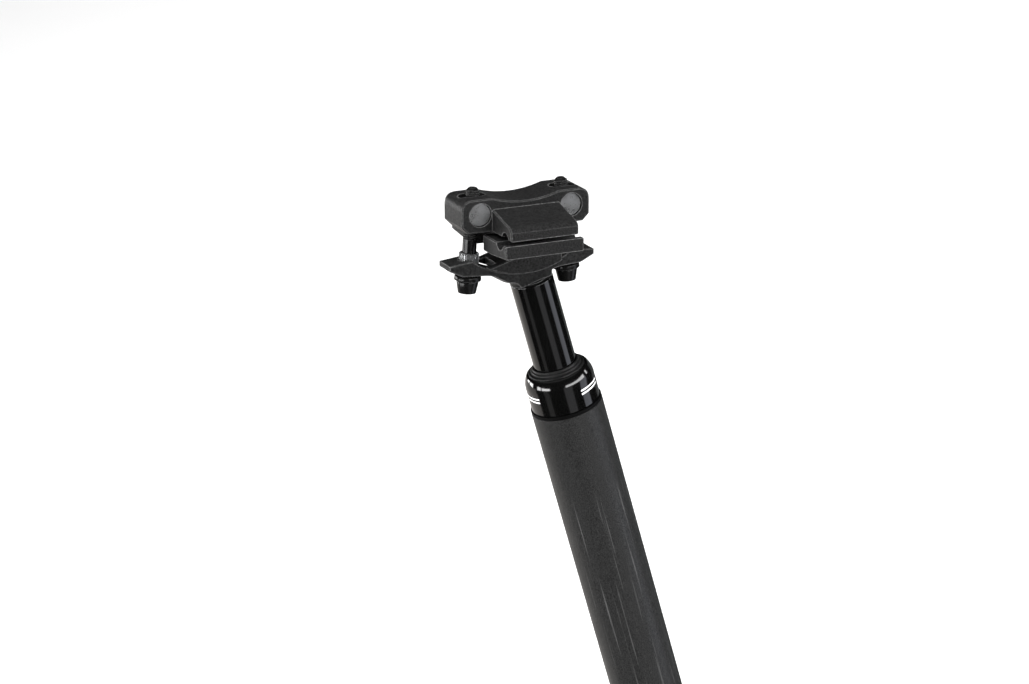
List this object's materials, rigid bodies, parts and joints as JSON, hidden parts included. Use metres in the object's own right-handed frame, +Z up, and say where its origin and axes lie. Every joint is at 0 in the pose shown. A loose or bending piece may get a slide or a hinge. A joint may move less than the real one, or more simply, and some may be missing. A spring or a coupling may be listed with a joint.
{
  "type": "suspension seatpost",
  "caption": "Telescopic suspension seatpost: sprung inner tube in an outer tube, with a collar, a wiper and a two-bolt saddle clamp.",
  "frame": {"origin": "on the tube axis, level with the top edge of the frame that grips the post", "axes": "+Z up the tube axis, +X towards the front of the bicycle, +Y to the rider's left"},
  "size_m": [0.0679, 0.056, 0.3731],
  "materials": {
    "matte_black": "matte anodised",
    "gloss_black": "polished anodised",
    "forged_black": "satin",
    "black_steel": "black oxide",
    "bright_steel": "zinc plated",
    "spring_steel": "oiled",
    "rubber": "satin",
    "polymer": "moulded",
    "urethane": "cast",
    "alloy": "turned"
  },
  "bodies": {
    "post_body": {"outer_tube": "matte_black", "upper_guide_bush": "polymer", "collar_o_ring": "rubber", "main_spring": "spring_steel"},
    "seal_carrier": {"wiper_seal": "rubber"},
    "collar": {"lock_collar": "gloss_black"},
    "shaft": {"inner_tube": "gloss_black", "head_forging": "forged_black", "slider_bush": "polymer", "travel_spacer": "alloy", "top_out_bumper": "rubber", "anti_rotation_key_left": "bright_steel", "anti_rotation_key_right": "bright_steel", "spring_pilot": "alloy", "elastomer_bumper": "urethane"},
    "preload_seat": {"spring_seat": "polymer"},
    "adjuster": {"preload_adjuster": "alloy"},
    "cradle": {"lower_cradle": "forged_black"},
    "clamp": {"upper_clamp": "forged_black"},
    "rear_nut": {"barrel_nut_rear": "bright_steel"},
    "front_nut": {"barrel_nut_front": "bright_steel"},
    "rear_washer": {"domed_washer_rear": "black_steel"},
    "rear_bolt": {"clamp_bolt_rear": "black_steel"},
    "thumb_nut": {"knurled_thumb_nut": "bright_steel"},
    "front_washer": {"domed_washer_front": "black_steel"},
    "front_bolt": {"clamp_bolt_front": "black_steel"}
  },
  "joints": [
    {"name": "suspension_travel", "type": "slide", "parent": "post_body", "child": "shaft", "axis": [0, 0, 1], "range_m": [-0.035, 0], "stiffness_N_per_m": 14000, "springref_m": 0.0004, "deforming": ["main_spring"]},
    {"name": "collar_rise", "type": "slide", "parent": "post_body", "child": "seal_carrier", "axis": [0, 0, 1], "range_m": [0, 0.008]},
    {"name": "collar_turn", "type": "hinge", "parent": "seal_carrier", "child": "collar", "pos_m": [0, 0, 0.045], "axis": [0, 0, 1], "range_deg": [0, 2880]},
    {"name": "preload_rise", "type": "slide", "parent": "post_body", "child": "preload_seat", "axis": [0, 0, 1], "range_m": [0, 0.01], "deforming": ["main_spring"]},
    {"name": "adjuster_turn", "type": "hinge", "parent": "preload_seat", "child": "adjuster", "pos_m": [0, 0, -0.2235], "axis": [0, 0, 1], "range_deg": [0, 2400]},
    {"name": "saddle_tilt", "type": "hinge", "parent": "shaft", "child": "cradle", "pos_m": [0.00574, 0, 0.1416], "axis": [0, 1, 0], "range_deg": [-8, 8]},
    {"name": "clamp_open", "type": "slide", "parent": "cradle", "child": "clamp", "axis": [0.2756, 0, 0.9613], "range_m": [0, 0.003]},
    {"name": "rear_nut_pivot", "type": "hinge", "parent": "clamp", "child": "rear_nut", "pos_m": [-0.01724, 0, 0.13726], "axis": [0, 1, 0], "range_deg": [-12, 12]},
    {"name": "rear_bolt_lean", "type": "hinge", "parent": "shaft", "child": "rear_washer", "pos_m": [-0.0266, 0, 0.11155], "axis": [0, 1, 0], "range_deg": [-4, 4]},
    {"name": "rear_bolt_turn", "type": "hinge", "parent": "rear_washer", "child": "rear_bolt", "pos_m": [-0.0266, 0, 0.11155], "axis": [0.342, 0, 0.9397], "continuous": true},
    {"name": "front_nut_pivot", "type": "hinge", "parent": "clamp", "child": "front_nut", "pos_m": [0.02293, 0, 0.12575], "axis": [0, 1, 0], "range_deg": [-12, 12]},
    {"name": "front_bolt_lean", "type": "hinge", "parent": "shaft", "child": "front_washer", "pos_m": [0.01724, 0, 0.09898], "axis": [0, 1, 0], "range_deg": [-4, 4]},
    {"name": "front_bolt_turn", "type": "hinge", "parent": "front_washer", "child": "front_bolt", "pos_m": [0.01724, 0, 0.09898], "axis": [0.2079, 0, 0.9781], "continuous": true},
    {"name": "thumb_nut_turn", "type": "hinge", "parent": "rear_washer", "child": "thumb_nut", "pos_m": [-0.02512, 0, 0.1156], "axis": [0.342, 0, 0.9397], "continuous": true}
  ],
  "couplings": [
    {"joint": "collar_rise", "follows": "collar_turn", "m_per_rad": 0.00015915},
    {"joint": "preload_rise", "follows": "adjuster_turn", "m_per_rad": 0.00023873},
    {"joint": "rear_bolt_lean", "follows": "saddle_tilt", "ratio": -0.38},
    {"joint": "front_bolt_lean", "follows": "saddle_tilt", "ratio": -0.38},
    {"joint": "rear_nut_pivot", "follows": "saddle_tilt", "ratio": -1.38},
    {"joint": "front_nut_pivot", "follows": "saddle_tilt", "ratio": -1.38}
  ]
}
